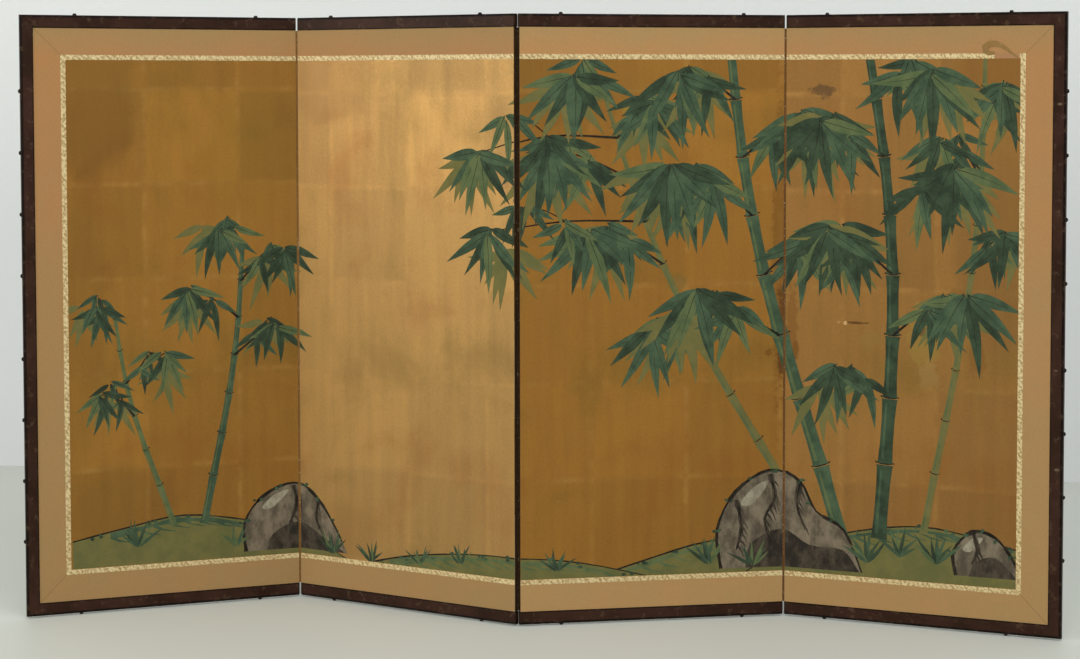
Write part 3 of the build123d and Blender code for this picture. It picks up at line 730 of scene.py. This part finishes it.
def rock(outline, shaded, lit, ridges):
    """A faceted rock: grey wash, a dark foot, a pale top, short drags down its ridges and a broad outline."""
    edge = smoothed(outline)
    strokes.append(("rock_wash", edge))
    strokes.append(("rock_shade", smoothed(shaded)))
    strokes.append(("rock_light", smoothed(lit, closed=True)))
    for ridge in ridges:
        line = smoothed(ridge)
        line_stroke("rock_shade", line, 9, 3, 0.4)
        for far, up in line[1:-1]:
            drag = draw.uniform(12, 22)
            side = draw.uniform(4, 12)
            half_way = (far + side * 0.6, up - drag * 0.5)
            line_stroke("rock_shade", [(far, up), half_way, (far + side, up - drag)], 4.2, 0.8)
        line_stroke("ink", line, 3.0, 1.2, 0.3)
    for i in range(0, len(edge) - 6, 7):
        line_stroke("ink", edge[i : i + 9], draw.uniform(5.0, 7.0), 2.4, 0.25)
    for far, up in edge[4:-4:3]:
        moss(far, up, 3, 8)


def tuft(far, up, size):
    """A tuft of grass at the foot of things."""
    for i in range(7):
        heading = math.radians(30 + 120 * (i + 0.5) / 7 + draw.uniform(-8, 8))
        length = size * draw.uniform(0.7, 1.1)
        paint = draw.choice(NEAR_LEAVES)
        leaf_stroke(paint, (far + draw.uniform(-4, 4), up), heading, length, size * 0.11, False)


# Each culm's base, top, lean, width at both ends, joints and two paints, and then its twigs: the joint that
# each grows from, how far it reaches along and up, the size of its leaves and how many they are.
CULMS = (
    (
        ((1424, 140), (1512, 870), 26, 12, 7, 10, "misty_green", "pale_green"),
        ((5, 52, 58, 88, 6), (7, -58, 56, 84, 6), (8, 30, 70, 92, 7)),
    ),
    (
        ((1262, 110), (934, 790), -46, 15, 6, 10, "misty_green", "pale_green"),
        (
            (4, -84, 34, 92, 7), (6, -112, 50, 104, 9), (7, -232, -14, 92, 8), (7, 60, 52, 92, 7),
            (8, -122, 46, 112, 9), (9, -206, -22, 98, 8), (9, 58, 50, 94, 7), (10, -46, 32, 104, 8),
        ),
    ),
    (
        ((1300, 118), (1124, 870), -34, 25, 14, 8, "green", "pale_green"),
        (
            (3, -126, 70, 112, 9), (4, 112, 74, 116, 9), (5, -122, 78, 124, 10), (6, 92, 68, 118, 9),
            (7, -84, 40, 104, 8),
        ),
    ),
    (
        ((1356, 128), (1334, 870), 30, 24, 14, 8, "deep_green", "green"),
        (
            (2, -84, 44, 90, 7), (3, 110, 62, 106, 8), (4, -100, 66, 108, 8), (5, 100, 72, 116, 9),
            (6, -96, 52, 108, 8), (7, 88, 40, 114, 9),
        ),
    ),
    (
        ((252, 126), (316, 560), 14, 13, 7, 7, "green", "pale_green"),
        ((4, 66, 44, 68, 6), (5, -76, 42, 72, 7), (6, 72, 48, 76, 7), (7, -34, 24, 74, 7)),
    ),
    (
        ((206, 126), (118, 450), -16, 10, 5, 6, "pale_green", "misty_green"),
        ((3, -48, 34, 60, 6), (4, 60, 44, 64, 6), (6, -26, 18, 62, 6)),
    ),
)


def picture():
    """Lays every stroke, the farthest things first."""
    for lit, base, crest in (
        ("pale_green", 62, [(905, 66), (990, 92), (1090, 118), (1190, 122), (1290, 104), (1390, 66)]),
        ("pale_green", 60, [(520, 64), (600, 84), (700, 98), (800, 102), (900, 92), (1020, 64)]),
        ("green", 60, [(1140, 64), (1220, 108), (1320, 138), (1420, 152), (1510, 140), (1600, 118)]),
        ("green", 60, [(50, 112), (130, 128), (220, 142), (320, 128), (410, 104), (505, 64)]),
    ):
        bank(crest, base, "misty_green", lit)
    stems = [culm(*shape) for shape, _ in CULMS]
    for stem, (_, twigs) in zip(stems, CULMS):
        for joint, across, rise, size, count in twigs:
            far, up = stem[joint]
            twig((far, up), (far + across, up + rise), size, count)
    rock(
        [
            (1112, 76), (1106, 136), (1134, 192), (1186, 224),
            (1232, 208), (1258, 164), (1302, 138), (1330, 76),
        ],
        [(1150, 76), (1158, 112), (1204, 134), (1248, 112), (1300, 108), (1326, 76)],
        [(1142, 174), (1162, 198), (1184, 208), (1178, 192), (1158, 172)],
        [
            [(1188, 218), (1196, 182), (1180, 150), (1190, 112)],
            [(1232, 204), (1228, 170), (1240, 138)],
            [(1136, 180), (1144, 140), (1136, 104)],
        ],
    )
    rock(
        [(318, 78), (316, 124), (346, 164), (396, 182), (438, 158), (470, 118), (494, 78)],
        [(352, 78), (362, 104), (402, 120), (446, 100), (490, 78)],
        [(344, 146), (362, 164), (386, 172), (378, 160), (358, 144)],
        [[(394, 178), (400, 150), (388, 118)], [(438, 154), (434, 128), (446, 104)]],
    )
    rock(
        [(1474, 84), (1470, 120), (1498, 150), (1532, 144), (1558, 114), (1572, 84)],
        [(1494, 84), (1502, 104), (1532, 114), (1566, 84)],
        [(1484, 124), (1498, 140), (1514, 142), (1506, 130), (1494, 120)],
        [[(1500, 148), (1506, 124), (1498, 102)]],
    )
    for far, up, size in (
        (1092, 84, 44), (1160, 80, 40), (1336, 92, 52), (1388, 104, 46), (1444, 98, 50), (302, 88, 40),
        (466, 76, 42), (540, 70, 36), (150, 98, 42), (708, 84, 36), (632, 76, 30), (860, 82, 34),
    ):
        tuft(far, up, size)


def stroke_levels():
    """For each stroke, one more than the highest of the earlier strokes whose boxes it meets."""
    boxes, levels = [], []
    for _, outline in strokes:
        fars = [far for far, _ in outline]
        ups = [up for _, up in outline]
        left, right, low, high = min(fars), max(fars), min(ups), max(ups)
        under = [
            level
            for (a, b, c, d), level in zip(boxes, levels)
            if left < b and a < right and low < d and c < high
        ]
        boxes.append((left, right, low, high))
        levels.append(1 + max(under, default=0))
    return levels


def trimmed(outline, axis, limit, keep_above):
    """An outline cut off at a straight line across the picture."""
    kept = []
    for here, after in zip(outline, outline[1:] + outline[:1]):
        here_in = (here[axis] >= limit) == keep_above
        after_in = (after[axis] >= limit) == keep_above
        if here_in:
            kept.append(here)
        if here_in != after_in:
            share = (limit - here[axis]) / (after[axis] - here[axis])
            kept.append(tuple(a + (b - a) * share for a, b in zip(here, after)))
    return kept


def new_object(name, points, faces, finishes):
    """A mesh object in the scene, with its finishes."""
    mesh = bpy.data.meshes.new(name)
    mesh.from_pydata(points, [], faces)
    for finish in finishes:
        mesh.materials.append(finish)
    made = bpy.data.objects.new(name, mesh)
    scene.collection.objects.link(made)
    return made


def new_piece(name, points, faces, finishes, body, chosen=None):
    """A piece that rides on a body; chosen is each face's place in its finishes, where it isn't the first."""
    piece = new_object(name, points, faces, finishes)
    if chosen:
        piece.data.polygons.foreach_set("material_index", chosen)
    piece.data.validate()
    piece.data.update()
    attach(piece, body)


def prism(points, faces, *outlines):
    """Adds a closed piece through outlines of as many points, each one anticlockwise seen from the last."""
    first, count = len(points), len(outlines[0])
    last = first + count * (len(outlines) - 1)
    for outline in outlines:
        points += outline
    faces.append([first + i for i in range(count)][::-1])
    faces.append([last + i for i in range(count)])
    for start in range(first, last, count):
        for i in range(count):
            after = (i + 1) % count
            faces.append([start + i, start + after, start + count + after, start + count + i])


def on_panel(number, far, up, depth):
    """A point in metres, from millimetres along a panel and above the floor, and metres off its plane."""
    start, turn, _ = PLANS[number]
    return (
        start.x + math.cos(turn) * far * MM + math.sin(turn) * depth,
        start.y + math.sin(turn) * far * MM - math.cos(turn) * depth,
        up * MM,
    )


def paint_panel(number, levels):
    """The strokes that fall on one panel, as flat closed pieces on the face of its sheet."""
    width = CORE_WIDTH / MM
    left_end = (number - 1) * width
    low_along = BORDER / MM + 0.5 if number == 1 else 0.3
    high_along = width - BORDER / MM - 0.5 if number == 4 else width - 0.3
    step = (PAINT_DEEPEST - PAINT_THINNEST) / max(levels)
    points, faces, chosen = [], [], []
    for (paint, shape), level in zip(strokes, levels):
        for axis, limit, keep_above in (
            (0, left_end + low_along, True),
            (0, left_end + high_along, False),
            (1, SHEET_LOW / MM + 0.5, True),
            (1, SHEET_HIGH / MM - 0.5, False),
        ):
            shape = trimmed(shape, axis, limit, keep_above) if len(shape) > 2 else []
        turned = sum(a[0] * b[1] - b[0] * a[1] for a, b in zip(shape, shape[1:] + shape[:1]))
        if abs(turned) < 2.0:
            continue
        if turned < 0:
            shape = shape[::-1]
        back = [on_panel(number, far - left_end, up, PAPER_FACE) for far, up in shape]
        face = PAPER_FACE + PAINT_THINNEST + step * level
        front = [on_panel(number, far - left_end, up, face) for far, up in shape]
        prism(points, faces, back, front)
        chosen += [PAINT_ORDER.index(paint)] * (len(shape) + 2)
    body = f"panel_{number}"
    new_piece(f"{body}_painting", points, faces, PAINTS.values(), body, chosen)


picture()
LEVELS = stroke_levels()
for number in PANELS:
    paint_panel(number, LEVELS)


# ---------------- folded paper in the folds

CREASE_BEAD = 0.2 * MM  # radius of the rounded fold of paper along each crease
LINING_INSET = 0.3 * MM
LINING_BACK = 0.55 * MM  # how far behind the creases the lining's far face is, on the side that never closes
END_CLEAR = 0.8 * MM

joint_places = {joint["name"]: Vector(joint["pos_m"]) for joint in frame["joints"]}


def crease_paper(number, closes_to_front):
    """The paper folded along both creases of a fold, and the thin lining behind the strips between them."""
    creases = (joint_places[f"fold_{number}_{side}_crease"] for side in ("left", "right"))
    first, last = sorted(creases, key=lambda place: place.x)
    across = (last - first).normalized()
    behind = Vector((-across.y, across.x, 0)) * (1 if closes_to_front else -1)
    low, high = CORE_LOW + END_CLEAR, CORE_HIGH - END_CLEAR
    turns = [step * math.tau / 10 for step in range(10)]
    bead = [(CREASE_BEAD * math.cos(turn), CREASE_BEAD * math.sin(turn)) for turn in turns]
    rings = [[(place.x + x, place.y + y) for x, y in bead] for place in (first, last)]
    near, far = behind * LINING_BACK / 2, behind * LINING_BACK
    from_first, from_last = first + across * LINING_INSET, last - across * LINING_INSET
    lining = [(c.x, c.y) for c in (from_first + near, from_last + near, from_last + far, from_first + far)]
    rings.append(lining if closes_to_front else lining[::-1])
    points, faces = [], []
    for ring in rings:
        prism(points, faces, *([(x, y, height) for x, y in ring] for height in (low, high)))
    name = f"fold_{number}_crease_paper"
    new_piece(name, points, faces, [HINGE_PAPERS[number]], f"fold_{number}_link")


for number, closes_to_front in ((1, True), (2, False), (3, True)):
    crease_paper(number, closes_to_front)


# ---------------- lacquered ends of the rails

# All in millimetres. Lacquer built up over a rail's end carries it on by this much at each fold.
BUILT_UP = {1: 1.9, 2: 0.4, 3: 1.9}
END_CUT = 1.2  # cut off the upright arrises of an end
FRAME_HALF_DEPTH = 5.0
BEVEL_HALF_DEPTH = 3.4  # where the bevel meets the outer edge
INSET = 0.02  # under the rail's own surface


def rail_tips(number):
    """The built-up ends of a panel's rails at its folds, each with the rail's own section."""
    start, turn, _ = PLANS[number]
    way = Vector((math.cos(turn), math.sin(turn)))
    rail = frame["nodes"][f"panel_{number}_top_rail"].data
    spans = [(Vector(v.co[:2]) - start).dot(way) / MM for v in rail.vertices]
    bevel = BEVEL_FACE / MM
    deep, less = FRAME_HALF_DEPTH - INSET, BEVEL_HALF_DEPTH - INSET
    frame_high = 2 * CORE_MIDDLE - FRAME_LOW
    points, faces = [], []
    for end, fold, sign in ((min(spans), number - 1, -1), (max(spans), number, 1)):
        if fold not in BUILT_UP:
            continue
        for inner, outer, up in ((CORE_LOW, FRAME_LOW, -1), (CORE_HIGH, frame_high, 1)):
            low, high = inner / MM + INSET * up, outer / MM - INSET * up
            half = [(low, deep), (high - bevel * up, deep), (high, less)]
            section = half + [(height, -depth) for height, depth in half[::-1]]
            if (up > 0) != (sign < 0):
                section = section[::-1]
            rings = []
            for past, cut in ((-END_CUT, 0.0), (BUILT_UP[fold] - END_CUT, 0.0), (BUILT_UP[fold], END_CUT)):
                share = (deep - cut) / deep
                rings.append([on_panel(number, end + sign * past, h, d * share * MM) for h, d in section])
            prism(points, faces, *rings)
    body = f"panel_{number}"
    new_piece(f"{body}_rail_tips", points, faces, [COMMON["lacquer"]], body)


for number in PANELS:
    rail_tips(number)


# ---------------- loose end of the gilt strip

# At panel 4's top right corner the strip has come unstuck. Its end is turned back on itself and lies curled
# over the brocade: middle of the ribbon as (along, up) in millimetres and its height off the strip's face.
CURL = (
    (351.0, 846.0, 0.08), (343.5, 851.5, 0.18), (336.0, 857.5, 0.30), (328.0, 863.0, 0.42),
    (319.0, 866.5, 0.52), (309.5, 866.0, 0.60), (303.0, 861.5, 0.62), (303.5, 855.5, 0.52),
    (310.0, 852.5, 0.38), (317.0, 852.5, 0.26),
)
RIBBON_HALF = (1.2, 1.8, 2.4, 3.0, 4.0, 4.8, 4.8, 4.2, 3.4, 2.0)
RIBBON_THICK = 0.12 * MM


def curled_end():
    """The strip's loose end: a thin ribbon turned over, its dull paper back outwards."""
    points, faces = [], []
    for i in range(len(CURL) - 1):
        quad = []
        for k, side in ((i, 1), (i, -1), (i + 1, -1), (i + 1, 1)):
            before, after = CURL[max(k - 1, 0)], CURL[min(k + 1, len(CURL) - 1)]
            angle = math.atan2(after[1] - before[1], after[0] - before[0])
            half = RIBBON_HALF[k] * side
            far, up, rise = CURL[k]
            quad.append((far - math.sin(angle) * half, up + math.cos(angle) * half, rise))
        back, front = (
            [on_panel(4, far, up, PAPER_FACE + rise * MM + off) for far, up, rise in quad]
            for off in (0.0, RIBBON_THICK)
        )
        prism(points, faces, back, front)
    paper = mulberry_paper("strip_back_paper", "#9A7A48", "#76592E", 0.1)
    new_piece("panel_4_loose_strip_end", points, faces, [paper], "panel_4")


curled_end()


# ---------------- floor, wall, lights and camera

WALL_BEHIND = 1.31  # from the screen's middle
ROOM_HALF = 14.0
ROOM_HEIGHT = 7.0


def stage_sheet(name, first, last, finish):
    """One flat sheet right across the room, from one edge's (y, z) to the other's."""
    corners = [(-ROOM_HALF, *first), (ROOM_HALF, *first), (ROOM_HALF, *last), (-ROOM_HALF, *last)]
    sheet = new_object(name, corners, [[0, 1, 2, 3]], [finish])


def floor_paint():
    """Smooth painted concrete: pale warm grey with a very soft gloss."""
    finish, tree, shader, place = new_finish("floor_paint", {"Roughness": 0.5, "Specular IOR Level": 0.2})
    clouds = add(tree, "TexNoise", {"Vector": place, "Scale": 1.6, "Detail": 4.0})
    colour = add(tree, "Mix", [clouds, "#C7CBC3", "#CED2C9"], data_type="RGBA")
    wire(shader, {"Base Color": colour})
    return finish


def wall_paint():
    """Matt emulsion, a little brighter towards the ceiling lights, seen from the room's side only."""
    finish, tree, shader, place = new_finish("wall_paint", {"Roughness": 0.95, "Specular IOR Level": 0.1})
    height = along_and_up(tree, place)[1]
    higher = add(tree, "MapRange", {"Value": height, "From Min": 0.5, "From Max": 1.15})
    colour = add(tree, "Mix", [higher, "#D8DBDB", "#E9ECEA"], data_type="RGBA")
    wire(shader, {"Base Color": colour})
    clear = add(tree, "BsdfTransparent")
    behind = add(tree, "NewGeometry").outputs["Backfacing"]
    one_sided = add(tree, "MixShader", [behind, shader, clear])
    output = next(node for node in tree.nodes if node.type == "OUTPUT_MATERIAL")
    wire(output, {"Surface": one_sided})
    return finish


stage_sheet("floor", (-ROOM_HALF, 0), (ROOM_HALF, 0), floor_paint())
stage_sheet("wall", (WALL_BEHIND, 0), (WALL_BEHIND, ROOM_HEIGHT), wall_paint())

# name, where it hangs, what it faces, width, height, power, colour
LAMPS = (
    ("window", (-3.0, -1.85, 1.75), (-0.25, 0.0, 0.7), 1.5, 2.0, 50.0, "#FFFBF4"),
    ("key", (0.9, -3.0, 3.6), (0.0, 0.0, 0.45), 3.0, 2.0, 90.0, "#FFFFFF"),
    ("fill", (3.6, -1.4, 2.4), (0.1, 0.0, 0.5), 2.0, 2.0, 25.0, "#FFFFFF"),
    ("rear", (0.0, 3.6, 3.4), (0.0, 0.0, 0.4), 3.0, 2.0, 34.0, "#FFFFFF"),
)


def hang_lamp(name, place, target, width, height, power, colour):
    """A large soft rectangular lamp that no camera sees."""
    lamp = bpy.data.lights.new(name, "AREA")
    lamp.shape = "RECTANGLE"
    lamp.size = width
    lamp.size_y = height
    lamp.energy = power
    lamp.color = linear(colour)[:3]
    hung = bpy.data.objects.new(name, lamp)
    hung.location = place
    hung.rotation_mode = "QUATERNION"
    hung.rotation_quaternion = (Vector(target) - Vector(place)).to_track_quat("-Z", "Y")
    hung.visible_camera = False
    scene.collection.objects.link(hung)


for lamp in LAMPS:
    hang_lamp(*lamp)

ROOM_LIGHT = 0.52
world = bpy.data.worlds.new("room_light")
world.use_nodes = True
world.node_tree.nodes.clear()
room = add(world.node_tree, "Background", {"Color": "#F7F8FA", "Strength": ROOM_LIGHT})
add(world.node_tree, "OutputWorld", {"Surface": room})
scene.world = world
scene.view_settings.view_transform = "Standard"

CAMERA_PLACE = (0.416, -3.495, 0.7944)
CAMERA_TIP = 3.016  # degrees below the horizon
CAMERA_TURN = 5.34  # degrees to the viewer's left of straight ahead
LENS = 77.7
SENSOR = 36.0
SHIFT_ACROSS = -0.055
SHIFT_UP = -0.105

camera = bpy.data.objects.new("camera", bpy.data.cameras.new("camera"))
camera.data.sensor_width = SENSOR
camera.data.lens = LENS
camera.data.shift_x = SHIFT_ACROSS
camera.data.shift_y = SHIFT_UP
camera.location = CAMERA_PLACE
camera.rotation_euler = (math.radians(90 - CAMERA_TIP), 0, math.radians(CAMERA_TURN))
scene.collection.objects.link(camera)
scene.camera = camera
